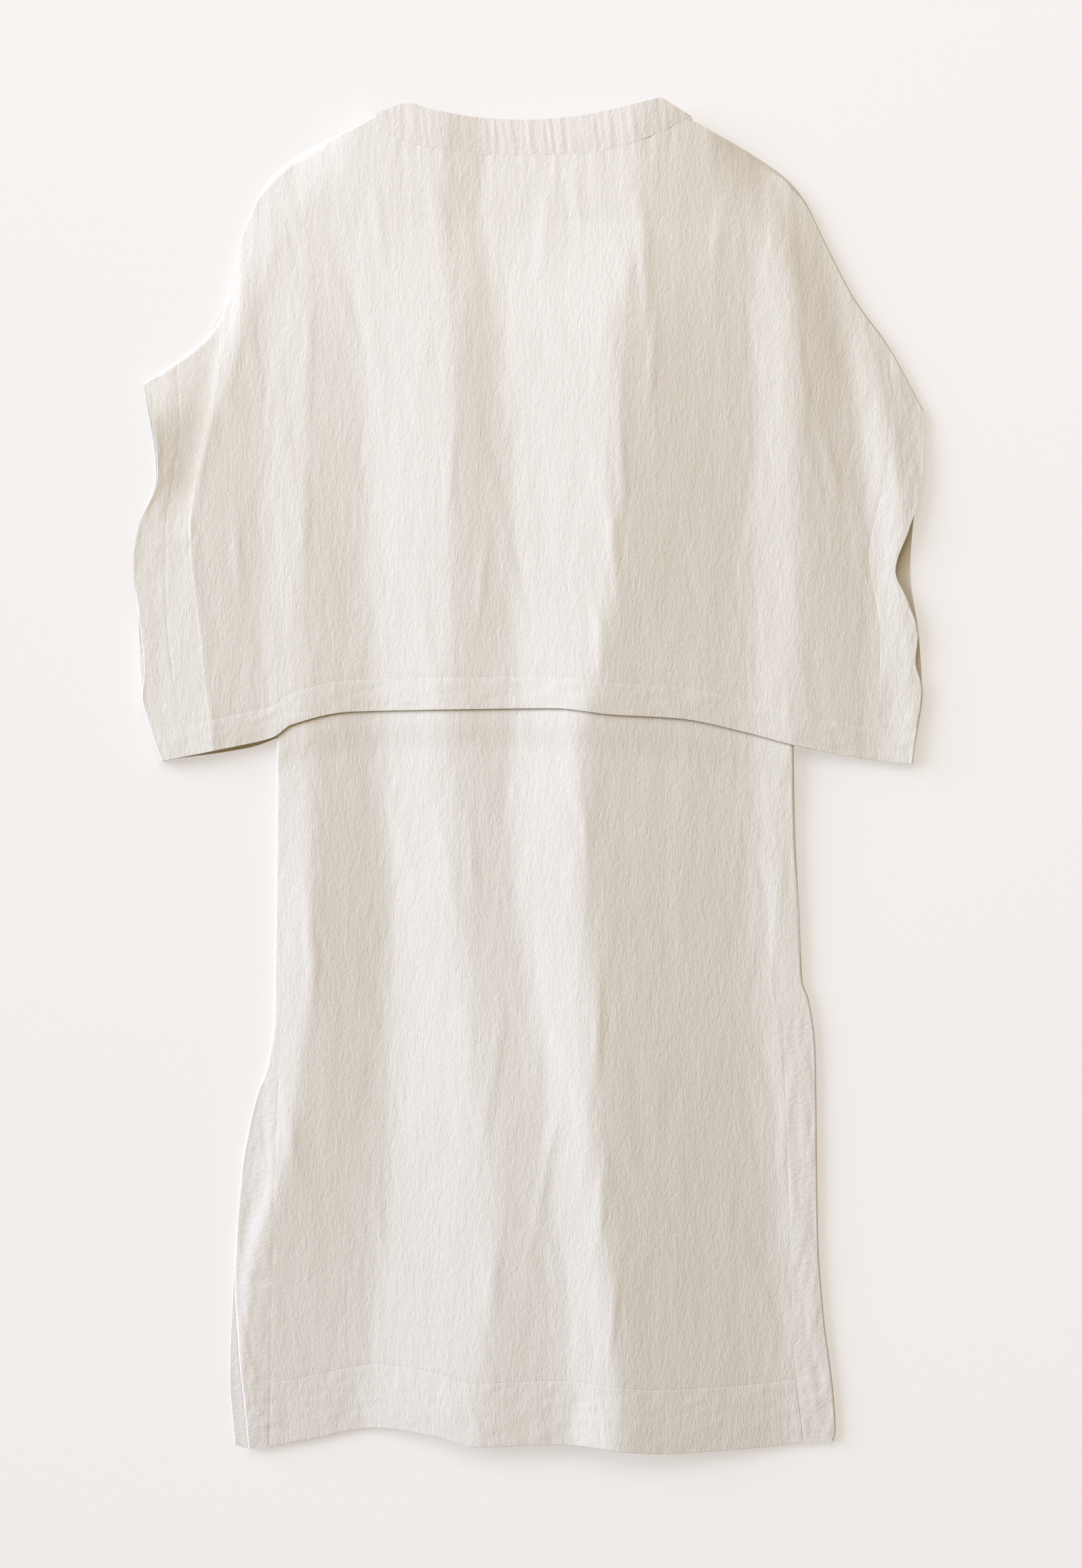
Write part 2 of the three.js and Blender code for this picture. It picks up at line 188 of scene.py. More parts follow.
@dataclass(frozen=True)
class Outlines:
    """Edges and seams from above: rows of (x, y) run across, and rows of (y, x) run down."""

    shoulder: Line = SmoothCurve([
        (-308, 312), (-280, 331), (-258, 349), (-239, 388), (-227, 436), (-206, 476),
        (-173, 500), (-135, 519), (-104, 534), (0, 537), (104, 537), (128, 523),
        (172, 498), (206, 474), (221, 455), (234, 428), (259, 380), (286, 342), (314, 291),
    ])
    neck_edge: Line = SmoothCurve([
        EDGE_LEFT, (-74, 527), (-39, 521.5), (0, 519.5), (29, 521), (69, 527.5), EDGE_RIGHT,
    ])
    neck_seam: Line = SmoothCurve([
        SEAM_LEFT, (-110, 508), (-90, 500), (-61, 495), (-30, 492), (11, 491.5),
        (47, 493), (76, 498.5), (100, 507), SEAM_RIGHT,
    ])
    cape_hem: Line = SmoothCurve([
        (-293, 11), (-238, 22), (-204, 30), (-189, 40), (-141, 50.5), (-70, 52), (18, 53),
        (64, 48), (118, 45), (172, 34), (212, 23.5), (275, 12), (305, 9),
    ])
    front_hem_drop: Line = SmoothCurve([(-282, 0), (-225, 3), (-196, 1), (-150, 0)])
    sleeve_edge_left: Line = SmoothCurve([
        (11, -293), (36, -302), (61, -309), (83, -307), (142, -312.8), (169, -314.5),
        (196, -310.5), (237, -295), (261, -296), (312, -308),
    ])
    sleeve_edge_right: Line = SmoothCurve([
        (9, 305), (29, 308), (68, 313.5), (90, 308), (112, 310), (137, 302), (162, 291),
        (196, 302), (222, 310), (245, 313.2), (291, 313.7),
    ])
    front_sleeve_left: Line = SmoothCurve([
        (11, -293), (61, -309), (169, -313), (205, -308), (237, -298), (312, -308),
    ])
    front_sleeve_right: Line = SmoothCurve([
        (9, 305), (68, 313), (112, 310.5), (162, 303.5), (200, 306), (245, 312), (291, 313.7),
    ])
    sleeve_stitch_left: Line = SmoothCurve([
        (15, -269), (50, -275), (63, -281), (149, -289), (191, -289), (240, -283),
        (275, -278), (331, -281),
    ])
    sleeve_stitch_right: Line = SmoothCurve([
        (12, 277), (110, 279), (176, 270), (208, 276), (257, 285), (341, 287),
    ])
    side_left: Line = SmoothCurve([
        (-536, -224), (-506, -227), (-457, -232), (-403, -235), (-354, -233), *LEFT_SIDE_ABOVE_SLIT,
    ])
    front_side_left: Line = SmoothCurve([
        (-530, -235), (-478, -239), (-403, -236), *LEFT_SIDE_ABOVE_SLIT,
    ])
    side_right: Line = SmoothCurve([
        (-531, 242), (-522, 244), (-495, 242.5), (-430, 234.5), (-365, 230), (-221, 228),
        (-180, 223), (-163, 217.5), (-106, 215), (-41, 211.5), (400, 206), (470, 190),
    ])
    facing_left: Line = SmoothCurve([(-533, -207.5), (-252, -200), (-192, -184)])
    facing_right: Line = SmoothCurve([
        (-530, 218), (-458, 210.5), (-320, 206), (-176, 200), (-120, 190),
    ])
    bottom_hem: Line = SmoothCurve([
        (-237, -533), (-224, -536), (-184, -530.5), (-120, -519.5), (-70, -526),
        (-46, -533), (21, -531), (106, -537.9), (180, -535), (218, -531), (242, -530),
    ])
    slit_top: Line = SmoothCurve([(-220, -247), (225, -184)])
    sleeve_fold: Line = SmoothCurve([
        (20, -252), (110, -261), (195, -269), (215, -267), (246, -261), (272, -256), (298, -252),
        (337, -246), (386, -239),
    ])
    neck_left: float = SEAM_LEFT[0] * MM
    neck_right: float = SEAM_RIGHT[0] * MM

    def neck_or_shoulder(self, neck: Line) -> Line:
        """A cape's upper edge: the neck line between the neck points, the shoulders past them."""
        return lambda x: np.where(
            (x >= self.neck_left - 1e-9) & (x <= self.neck_right + 1e-9), neck(x), self.shoulder(x)
        )

    def front_hem(self, x: Field) -> Field:
        """The front cape's lower edge, a little lower than the back's by the left sleeve."""
        return self.cape_hem(x) - self.front_hem_drop(x)


def v_line(left: Span, tip: Span, right: Span) -> Line:
    """One line of the front's V neck.

    Args:
        left: Its left end, x and y in millimetres.
        tip: The V's point.
        right: Its right end.

    Returns:
        y over x, in metres.
    """
    rows = np.array([left, tip, right]) * MM
    return lambda x: np.interp(x, rows[:, 0], rows[:, 1])


LINES = Outlines()
FRONT_SEAM = v_line(SEAM_LEFT, (3, 318), SEAM_RIGHT)
FRONT_EDGE = v_line(EDGE_LEFT, (3.5, 376), EDGE_RIGHT)


def constant(value: float) -> Line:
    """A straight line that holds one value everywhere."""
    return lambda at: np.full_like(at, value)


def lower(line: Line, distance: float) -> Line:
    """The same line, a distance in metres further down or left."""
    return lambda at: line(at) - distance


@dataclass(frozen=True)
class Fold:
    """A crest or valley that runs down the back.

    Attributes:
        name: What it is on the garment.
        x: Where it runs, over y.
        z: The cloth's rise along it, over y.
        softness: Radius of its turn, in metres.
    """

    name: str
    x: Line
    z: Line
    softness: float


LEVELS = (440, 340, 220, 60, -120, -300, -500)


def level(*values: float) -> SmoothCurve:
    """A curve down the garment through values in millimetres at the heights of LEVELS."""
    return SmoothCurve(sorted(zip(LEVELS, values)))


SLEEVE_RISE = level(4, 8.5, 11.5, 9)
SLEEVE_END_RISE = SmoothCurve([(60, 6), (150, 8), (220, 12), (280, 13), (320, 9), (440, 3)])
FOLD_STEP = 1.0 * MM
FOLD_START: Span = (185 * MM, 235 * MM)
FOOT_DROP = 0.2 * MM
FOOT_RISE = 0.5 * MM
SHARP = 0.05 * MM


def sleeve_foot(y: Field) -> Field:
    """Rise at the foot of the left sleeve's fold, which is almost flat below its start."""
    return mix(SLEEVE_RISE(y) - FOOT_DROP, FOOT_RISE, ease(y, *FOLD_START))


FOLDS = (
    Fold("left sleeve end", level(-300, -304, -304, -303), SLEEVE_END_RISE, 14 * MM),
    Fold("foot of the sleeve fold", lower(LINES.sleeve_fold, FOLD_STEP), sleeve_foot, SHARP),
    Fold("sleeve fold", LINES.sleeve_fold, SLEEVE_RISE, SHARP),
    Fold("left valley", level(-216, -210, -210, -211, -207, -217, -242),
         level(3, 4.5, 6, 5, 2.5, 3, 3), 6 * MM),
    Fold("left crest", SmoothCurve([
        (-500, -233), (-400, -226), (-320, -199), (-240, -182), (-120, -173), (30, -173),
        (65, -178), (160, -181), (340, -183), (440, -186),
    ]), level(3.5, 7.5, 9, 8.5, 9.5, 9, 5), 6 * MM),
    Fold("back valley", level(-152, -137, -131, -122, -110, -112, -130),
         level(6, 7, 5.5, 3.5, 1.5, 2.5, 2.5), 8 * MM),
    Fold("back crest", SmoothCurve([
        (-500, -42), (-400, -30), (-320, -30), (-240, -44), (-160, -50), (-80, -60), (60, -64),
        (220, -63), (340, -60), (440, -70),
    ]), level(13, 18.5, 17.5, 14.5, 13.5, 17.5, 17), 8 * MM),
    Fold("middle valley", SmoothCurve([
        (-500, 31), (-460, 29), (-400, 26), (-320, 18), (-240, 10), (-160, 0), (-80, -12),
        (60, -12), (160, -12), (220, -13), (280, -18), (340, -24), (400, -30), (440, -38),
    ]), level(10, 14, 13.5, 11.5, 12, 16.5, 14), 7 * MM),
    Fold("main crest", SmoothCurve([
        (-500, 68), (-400, 62), (-300, 52), (-120, 45), (-20, 40), (30, 40), (65, 49), (100, 56),
        (160, 66), (220, 67), (340, 70), (440, 88),
    ]), level(20, 27, 26, 23.5, 23, 25, 23), 8 * MM),
    Fold("right valley", level(184, 180, 177, 178, 181, 190, 206),
         level(9, 10.5, 8.5, 7, 3.5, 3, 3), 8 * MM),
    Fold("right crest", level(204, 206, 213, 208, 196, 208, 232),
         level(9, 13, 11, 9, 5, 4, 3.5), 7 * MM),
    Fold("right sleeve valley", level(230, 252, 270, 284), level(5, 4, 2.5, 2.5), 6 * MM),
    Fold("right sleeve crest", level(242, 272, 292, 306), level(6, 8, 8, 5.5), 6 * MM),
    Fold("right sleeve end", level(300, 314, 320, 320), level(5, 5, 5, 4), 6 * MM),
)
BODY_FOLDS = tuple(fold for fold in FOLDS if "sleeve" not in fold.name)


def rise(folds: Sequence[Fold], x: Field, y: Field) -> Field:
    """The cloth's rise: straight from each fold line to the next, rounded over each line."""
    where = [(fold.x(y), fold.z(y), fold.softness) for fold in folds]
    height, slope = where[0][1], np.zeros_like(y)
    for here, after in zip(where, [*where[1:], None]):
        turned = (after[1] - here[1]) / (after[0] - here[0]) if after else np.zeros_like(y)
        past = x - here[0]
        height = height + (turned - slope) * (past + np.hypot(past, here[2])) / 2
        slope = turned
    return height


def near_folds(folds: Sequence[Fold], x: Field, y: Field, reach: float) -> Field:
    """1 on the fold lines, fading to 0 within about twice the reach."""
    return np.max([bump(x - fold.x(y), reach) for fold in folds], axis=0)


# ---------------------------------------------------------------- how the layers lie


@dataclass(frozen=True)
class Lay:
    """Where the four layers lie over each other.

    Attributes:
        wall: From a layer's underside to its outer face.
        layer: From one layer's underside to the next one's.
        lift: Play between the back cape and the layers under it.
        roll_reach: Width over which a folded edge turns down.
        shoulder_reach: Width of the cape's long rise at the left and the right shoulder.
        long_start: Where that rise would start, as a share of its width.
        neck_reach: Distances from the neck's middle at which the steep rise gives way to the long one.
        step: Distances under the cape's hem between which the front body steps down to the ground.
        shoulder_ease: Distances from the shoulder line between which the back body's folds rise.
        sewn: Places along the garment between which the cape's sleeve ends open.
        sleeve_sag: Share of the play that is left at the sleeve ends.
        sag_reach: Distances from the middle between which the play shrinks.
        steepest: Limit on the shoulder line's slope where distances are taken square to it.
        slope_reach: Half the width over which that slope is taken.
    """

    wall: float = 1.5 * MM
    layer: float = 1.8 * MM
    lift: float = 0.8 * MM
    roll_reach: float = 1.2 * MM
    shoulder_reach: Span = (48 * MM, 60 * MM)
    long_start: float = -0.8
    neck_reach: Span = (135 * MM, 190 * MM)
    step: Span = (8 * MM, 34 * MM)
    shoulder_ease: Span = (10 * MM, 50 * MM)
    sewn: Span = (105 * MM, 150 * MM)
    sleeve_sag: float = 0.4
    sag_reach: Span = (205 * MM, 300 * MM)
    steepest: float = 1.5
    slope_reach: float = 2 * MM

    def roll(self, distance: Field) -> Field:
        """0 on a folded edge and 1 from the roll's reach inwards, round as a folded edge is."""
        t = np.clip(distance / self.roll_reach, 0.0, 1.0)
        return np.sqrt(t * (2.0 - t))

    def shoulder_rise(self, x: Field, distance: Field) -> Field:
        """0 on the shoulder line and 1 inwards: steep at the neck, a long rise past it."""
        steep = self.roll(distance)
        reach = np.where(x < 0, *self.shoulder_reach)
        long_rise = ease(distance / reach, self.long_start, 1.0)
        return mix(steep, steep * long_rise, ease(np.abs(x - NECK_MIDDLE), *self.neck_reach))

    def below_shoulder(self, x: Field, y: Field) -> Field:
        """Distance in from the shoulder line, about square to its slope."""
        side = self.slope_reach
        slope = (LINES.shoulder(x + side) - LINES.shoulder(x - side)) / (2 * side)
        return (LINES.shoulder(x) - y) / np.hypot(1.0, np.clip(slope, -self.steepest, self.steepest))

    def front_cape(self, x: Field, y: Field) -> Field:
        """The front cape lies on the ground."""
        return np.zeros_like(x)

    def front_body(self, x: Field, y: Field) -> Field:
        """The front body lies on the front cape, then on the ground past its hem."""
        return self.layer * ease(y - LINES.cape_hem(x), -self.step[1], -self.step[0])

    def back_body(self, x: Field, y: Field) -> Field:
        """The back body lies on the front one at its sides, and rises in folds between them."""
        inside = np.minimum(x - LINES.side_left(y), LINES.side_right(y) - x)
        up = self.roll(inside) * ease(self.below_shoulder(x, y), *self.shoulder_ease)
        return self.front_body(x, y) + self.layer + up * rise(BODY_FOLDS, x, y)

    def back_cape(self, x: Field, y: Field) -> Field:
        """The back cape lies over the body's folds, and its sleeve ends stand a little open."""
        inside = np.minimum(x - LINES.sleeve_edge_left(y), LINES.sleeve_edge_right(y) - x)
        sewn = 1.0 - ease(y, *self.sewn)
        sag = mix(1.0, self.sleeve_sag, ease(np.abs(x), *self.sag_reach))
        up = (2 * self.layer + self.lift) * sag + rise(FOLDS, x, y)
        at_shoulder = self.shoulder_rise(x, self.below_shoulder(x, y))
        return self.layer + up * at_shoulder * mix(1.0, self.roll(inside), sewn)


LAY = Lay()


@dataclass(frozen=True)
class Tuck:
    """How far the left sleeve's cloth slides under the fold that lies over it.

    Attributes:
        reach: Distance from the fold within which the cloth moves.
        depth: The most that it moves, at the fold's foot.
        start: Places along the garment between which the tuck sets in.
        end: Places between which it fades out by the shoulder.
    """

    reach: float = 17 * MM
    depth: float = 4 * MM
    start: Span = (188 * MM, 225 * MM)
    end: Span = (350 * MM, 386 * MM)

    def __call__(self, x: Field, y: Field) -> Field:
        """The move to the right at each place, in metres."""
        aside = x - LINES.sleeve_fold(y)
        along = ease(y, *self.start) * (1.0 - ease(y, *self.end))
        below = np.clip(-aside / FOLD_STEP, 0.0, 1.0)
        return self.depth * along * below * ease(aside, -self.reach, -FOLD_STEP)


TUCK = Tuck()


# ---------------------------------------------------------------- creases of the cloth


def creases(*rows: tuple[float, ...]) -> tuple[Crease, ...]:
    """Creases from rows of their sizes, in the order of a crease's attributes."""
    return tuple(Crease(*row) for row in rows)


CAPE_CREASES = creases(
    (88, 400, 150, 5, 0.9, 4, 3), (97, 330, 110, 4, 0.6, -5), (74, 262, 120, 4, 0.7, 3, -2),
    (66, 180, 110, 4, 0.7, 5), (56, 108, 80, 4, 0.6, 3), (-62, 250, 130, 5, 0.5, -3),
    (-40, 150, 110, 4, 0.5, -6, 2), (-176, 330, 140, 5, 0.6, -2), (-180, 210, 110, 5, 0.5, 3),
    (-120, 440, 90, 5, 0.5, 7), (12, 430, 110, 6, 0.5, -4), (37, 455, 70, 4, 0.5, 6),
    (150, 430, 80, 5, 0.5, -9), (214, 330, 120, 5, 0.6, 8), (238, 250, 90, 5, 0.6, 14),
    (262, 180, 80, 4, 0.5, 10), (-212, 250, 90, 6, 0.3, -3), (-232, 170, 100, 4, 0.5, 4),
)
BODY_CREASES = creases(
    (44, -60, 140, 5, 0.7, 2), (52, -200, 150, 4, 0.7, -3, 2), (57, -330, 120, 5, 0.6, -5),
    (66, -430, 90, 4, 0.6, -4), (-46, -60, 120, 5, 0.5, 4), (-30, -250, 150, 5, 0.6, -8),
    (-28, -400, 120, 5, 0.5, -6), (10, -330, 140, 4, 0.5, -10), (-174, -110, 150, 5, 0.5, 1),
    (-190, -280, 120, 5, 0.6, 8), (-120, -360, 90, 5, 0.4, 12), (196, -120, 120, 4, 0.6, -2),
    (204, -280, 110, 4, 0.5, -4),
)
STRIP_CREASES = creases(
    (218, -430, 46, 3, 0.7, 62), (228, -300, 40, 3, 0.5, -50), (-214, -402, 22, 2.5, -0.8, 88),
    (-219, -330, 30, 3, 0.5, 70),
)


@dataclass(frozen=True)
class Relief:
    """What the cloth's own creases, gathers and stitched grooves add to a layer.

    Attributes:
        streaks: Fine upright crinkles.
        broad: Wider upright crinkles.
        across: Crinkles across a hem.
        gathers: The cape's gathers under the neck band.
        puckers: What the stitches pull up beside them.
        ridges: The neck band's gathers.
        by_folds: How far from a fold line the crinkles are stronger.
        gather_fade: Distance from the neck seam over which the gathers fade.
        groove_depth: Depth of a row of stitches.
        flat_edge: Distances from an edge between which the relief sets in.
        cape_hem: Width of the cape's hem, as body_hem is of the body's and band of the neck band.
    """

    streaks: Crinkle = Crinkle(11, 4.2 * MM, 19 * MM)
    broad: Crinkle = Crinkle(12, 13 * MM, 52 * MM, 0.05)
    across: Crinkle = Crinkle(13, 11 * MM, 4.5 * MM, 0.4)
    gathers: Crinkle = Crinkle(14, 3.2 * MM, 60 * MM)
    puckers: Crinkle = Crinkle(15, 3.0 * MM, 9 * MM)
    ridges: Crinkle = Crinkle(16, 3.2 * MM, 70 * MM)
    by_folds: float = 16 * MM
    fine_height: float = 0.16 * MM
    broad_height: float = 0.35 * MM
    gather_height: float = 0.3 * MM
    gather_fade: float = 24 * MM
    pucker_height: float = 0.14 * MM
    groove_depth: float = 0.16 * MM
    flat_edge: Span = (-1 * MM, 4 * MM)
    cape_hem: float = 25 * MM
    body_hem: float = 51 * MM
    band: float = 30 * MM

    def panel(self, x: Field, y: Field, folds: Sequence[Fold]) -> Field:
        """Upright crinkles, stronger along the folds."""
        near = near_folds(folds, x, y, self.by_folds)
        fine = self.fine_height * (0.45 + 0.55 * near) * self.streaks(x, y)
        return fine + self.broad_height * (0.5 + 0.5 * near) * self.broad(x, y)

    def stitched(self, distance: Field, along: Field) -> Field:
        """A stitched groove and the puckers that it pulls into the cloth beside it.

        Args:
            distance: Distance from the row of stitches.
            along: Place along the row.
        """
        pucker = self.puckers(along, distance) * bump(distance, 5 * MM)
        return self.pucker_height * pucker - self.groove_depth * bump(distance, 1.0 * MM)

    def strip(self, stitch: Field, inside: Field, along: Field, height: float) -> Field:
        """A strip stitched down along an edge: crossways crinkles and its stitched groove.

        Args:
            stitch: Distance from its row of stitches towards the panel.
            inside: Distance across the strip.
            along: Place along the strip.
            height: Height of its crinkles.
        """
        in_strip = 1.0 - ease(stitch, -2 * MM, 2 * MM)
        return in_strip * height * self.across(along, inside) + self.stitched(stitch, along)

    def hem(self, inside: Field, along: Field, depth: float) -> Field:
        """A turned hem: crossways crinkles, and a slight swell between its fold and its stitches.

        Args:
            inside: Distance in from the hem's edge.
            along: Place along the edge.
            depth: Width of the hem.
        """
        swell = np.sin(math.pi * np.clip(inside / depth, 0.0, 1.0))
        return 0.18 * MM * swell + 0.2 * MM * self.across(along, inside) * ease(inside, 0.0, 2 * MM)

    def cape(self, x: Field, y: Field) -> Field:
        """Relief of the back cape and its hems."""
        total = self.panel(x, y, FOLDS) + sum(crease.relief(x, y) for crease in CAPE_CREASES)
        below = LINES.neck_seam(x) - y
        neck = ease(x, -128 * MM, -104 * MM) * (1.0 - ease(x, 106 * MM, 134 * MM))
        pulled = self.gathers(x, y) + 0.6 * self.streaks(x + 40 * MM, y)
        faded = np.exp(-np.maximum(below, 0.0) / self.gather_fade)
        total = total + self.gather_height * neck * pulled * faded
        up = y - LINES.cape_hem(x)
        in_hem = 1.0 - ease(up, self.cape_hem - 3 * MM, self.cape_hem + 2 * MM)
        left, right = x - LINES.sleeve_edge_left(y), LINES.sleeve_edge_right(y) - x
        for inside, stitch in (
            (left, x - LINES.sleeve_stitch_left(y)),
            (right, LINES.sleeve_stitch_right(y) - x),
        ):
            total = total + self.strip(stitch, inside, y, 0.2 * MM)
        total = total + in_hem * self.hem(up, x, self.cape_hem) + self.stitched(up - self.cape_hem, x)
        return total * ease(np.minimum(left, right), *self.flat_edge)

    def body(self, x: Field, y: Field) -> Field:
        """Relief of the back body, its hem and the facings."""
        total = self.panel(x, y, BODY_FOLDS) + sum(
            crease.relief(x, y) for crease in (*BODY_CREASES, *STRIP_CREASES)
        )
        up = y - LINES.bottom_hem(x)
        in_hem = 1.0 - ease(up, self.body_hem - 4 * MM, self.body_hem + 3 * MM)
        below_slit = 1.0 - ease(y - LINES.slit_top(x), -4 * MM, 10 * MM)
        for stitch in (x - LINES.facing_left(y), LINES.facing_right(y) - x):
            total = total + below_slit * self.strip(stitch, stitch, y, 0.25 * MM)
        total = total + in_hem * self.hem(up, x, self.body_hem) + self.stitched(up - self.body_hem, x)
        side = np.minimum(x - LINES.side_left(y), LINES.side_right(y) - x)
        return total * ease(side, *self.flat_edge)

    def neck_band(self, x: Field, y: Field) -> Field:
        """Upright puckers across the band, held flat at its folded edge."""
        swell = np.sin(math.pi * np.clip((y - LINES.neck_seam(x)) / self.band, 0.0, 1.0))
        ridge = self.ridges(x + 0.1 * y, y) + 0.5 * self.streaks(x, y)
        return 0.35 * MM * swell + self.gather_height * ridge * (0.55 + 0.45 * swell)

    def plain(self, x: Field, y: Field) -> Field:
        """Slight upward crinkles for the layers that lie flat underneath."""
        return 0.12 * MM * (1.0 + self.broad(x, y)) / 2


RELIEF = Relief()


def surface(under: Height, relief: Height) -> Height:
    """The outer face of a layer: its underside, its wall and its relief."""
    return lambda x, y: under(x, y) + LAY.wall + relief(x, y)


BACK_CAPE = surface(LAY.back_cape, RELIEF.cape)
BACK_BODY = surface(LAY.back_body, RELIEF.body)
BACK_BAND = surface(LAY.back_cape, RELIEF.neck_band)
FRONT_CAPE = surface(LAY.front_cape, RELIEF.plain)
FRONT_BODY = surface(LAY.front_body, RELIEF.plain)


# ---------------------------------------------------------------- finishes


class Slot(Enum):
    """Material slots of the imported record."""

    LINEN = "linen"
    NECK_BAND = "neck_band"
    SLIT_FACING = "slit_facing"


class Nodes:
    """Builds one material's node tree."""

    def __init__(self, name: str) -> None:
        """Starts an empty material."""
        self.material = bpy.data.materials.new(name)
        self.material.use_nodes = True
        self.tree = self.material.node_tree
        self.tree.nodes.clear()

    def add(self, kind: str, settings: dict | None = None, **inputs: object) -> bpy.types.Node:
        """Adds a node.

        Args:
            kind: The node's type without its ShaderNode prefix.
            settings: Properties of the node itself.
            **inputs: Socket values, or sockets to link, named with _ for a space.

        Returns:
            The node.
        """
        node = self.tree.nodes.new("ShaderNode" + kind)
        for key, value in (settings or {}).items():
            setattr(node, key, value)
        for key, value in inputs.items():
            self.give(node.inputs[key.replace("_", " ")], value)
        return node

    def give(self, socket: bpy.types.NodeSocket, value: object) -> None:
        """Links another node's output to a socket, or sets its value."""
        if isinstance(value, bpy.types.NodeSocket):
            self.tree.links.new(value, socket)
        else:
            socket.default_value = value

    def combined(self, operation: str, *values: object) -> bpy.types.NodeSocket:
        """The result of a Math node, whose inputs share one name."""
        node = self.add("Math", {"operation": operation})
        for socket, value in zip(node.inputs, values):
            self.give(socket, value)
        return node.outputs["Value"]

    def finish(self, shader: bpy.types.NodeSocket) -> bpy.types.Material:
        """Links the surface and returns the material."""
        self.add("OutputMaterial", Surface=shader)
        return self.material


# A Mix node has sockets for each kind of value under the same names, so its colours' are numbered.
MIX_SHARE, MIX_FIRST, MIX_SECOND, MIX_COLOUR = 0, 6, 7, 2


@dataclass(frozen=True)
class LinenFinish:
    """Washed, crinkled linen.

    Attributes:
        name: The material's name.
        colour: Its lighter colour, linear.
        shade: Its darker threads' colour, linear.
        crinkle: Size of the crinkles across and along, in metres.
        depth: Height of the crinkles and threads, in metres.
        pebble_share: Height of the fine grain, as a share of the crinkles'.
        weave_share: Height of the woven threads, as a share of the crinkles'.
    """

    name: str
    colour: Colour
    shade: Colour
    crinkle: Span
    depth: float
    pebble_share: float = 0.45
    weave_share: float = 0.12

    def material(self) -> bpy.types.Material:
        """The finish as a material."""
        nodes = Nodes(self.name)
        place = nodes.add("TexCoord").outputs["Object"]
        wide, tall = self.crinkle
        stretched = nodes.add("Mapping", Vector=place, Scale=(1 / wide, 1 / tall, 1 / wide))
        crinkles = nodes.add(
            "TexNoise", Vector=stretched.outputs["Vector"],
            Scale=1.0, Detail=2.0, Roughness=0.5, Distortion=0.6,
        )
        pebbles = nodes.add("TexNoise", Vector=place, Scale=620.0, Detail=1.5, Roughness=0.6)
        relief = nodes.combined(
            "MULTIPLY_ADD", pebbles.outputs["Fac"], self.pebble_share, crinkles.outputs["Fac"]
        )
        threads = []
        for direction in ("X", "Y"):
            wave = nodes.add(
                "TexWave",
                {"wave_type": "BANDS", "bands_direction": direction},
                Vector=place, Scale=430.0, Distortion=1.2, Detail=1.0, Detail_Scale=1.4,
            )
            threads.append(wave.outputs["Fac"])
        weave = nodes.combined("MULTIPLY", *threads)
        height = nodes.combined("MULTIPLY_ADD", weave, self.weave_share, relief)
        raised = nodes.add("Bump", Height=height, Strength=1.0, Distance=self.depth)
        slubs = nodes.add("Mapping", Vector=place, Scale=(900.0, 40.0, 900.0))
        yarn = nodes.add("TexNoise", Vector=slubs.outputs["Vector"], Scale=1.0, Detail=3.0, Roughness=0.6)
        tone = nodes.add("Mix", {"data_type": "RGBA"})
        nodes.give(tone.inputs[MIX_SHARE], yarn.outputs["Fac"])
        nodes.give(tone.inputs[MIX_FIRST], (*self.shade, 1.0))
        nodes.give(tone.inputs[MIX_SECOND], (*self.colour, 1.0))
        rough = nodes.add("MapRange", Value=pebbles.outputs["Fac"], To_Min=0.82, To_Max=0.96)
        cloth = nodes.add(
            "BsdfPrincipled",
            Base_Color=tone.outputs[MIX_COLOUR],
            Roughness=rough.outputs["Result"],
            Normal=raised.outputs["Normal"],
            Sheen_Weight=0.12,
            Sheen_Roughness=0.5,
            Specular_IOR_Level=0.2,
        )
        return nodes.finish(cloth.outputs["BSDF"])


@dataclass(frozen=True)
class ThreadFinish:
    """Twisted sewing thread, a little paler than the cloth."""

    name: str = "sewing thread"
    colour: Colour = (0.76, 0.72, 0.66)

    def material(self) -> bpy.types.Material:
        """The finish as a material."""
        nodes = Nodes(self.name)
        place = nodes.add("TexCoord").outputs["Object"]
        twist = nodes.add("TexNoise", Vector=place, Scale=2600.0, Detail=1.0)
        raised = nodes.add("Bump", Height=twist.outputs["Fac"], Strength=0.6, Distance=0.1 * MM)
        thread = nodes.add(
            "BsdfPrincipled",
            Base_Color=(*self.colour, 1.0),
            Roughness=0.7,
            Normal=raised.outputs["Normal"],
            Sheen_Weight=0.1,
        )
        return nodes.finish(thread.outputs["BSDF"])


@dataclass(frozen=True)
class FloorFinish:
    """A plain pale floor that glows a little, as a lit studio table does."""

    name: str = "pale floor"
    colour: Colour = (0.384, 0.366, 0.350)
    glow: Colour = (0.905, 0.871, 0.846)
    strength: float = 0.56

    def material(self) -> bpy.types.Material:
        """The finish as a material."""
        nodes = Nodes(self.name)
        floor = nodes.add(
            "BsdfPrincipled",
            Base_Color=(*self.colour, 1.0),
            Roughness=1.0,
            Specular_IOR_Level=0.0,
            Emission_Color=(*self.glow, 1.0),
            Emission_Strength=self.strength,
        )
        return nodes.finish(floor.outputs["BSDF"])


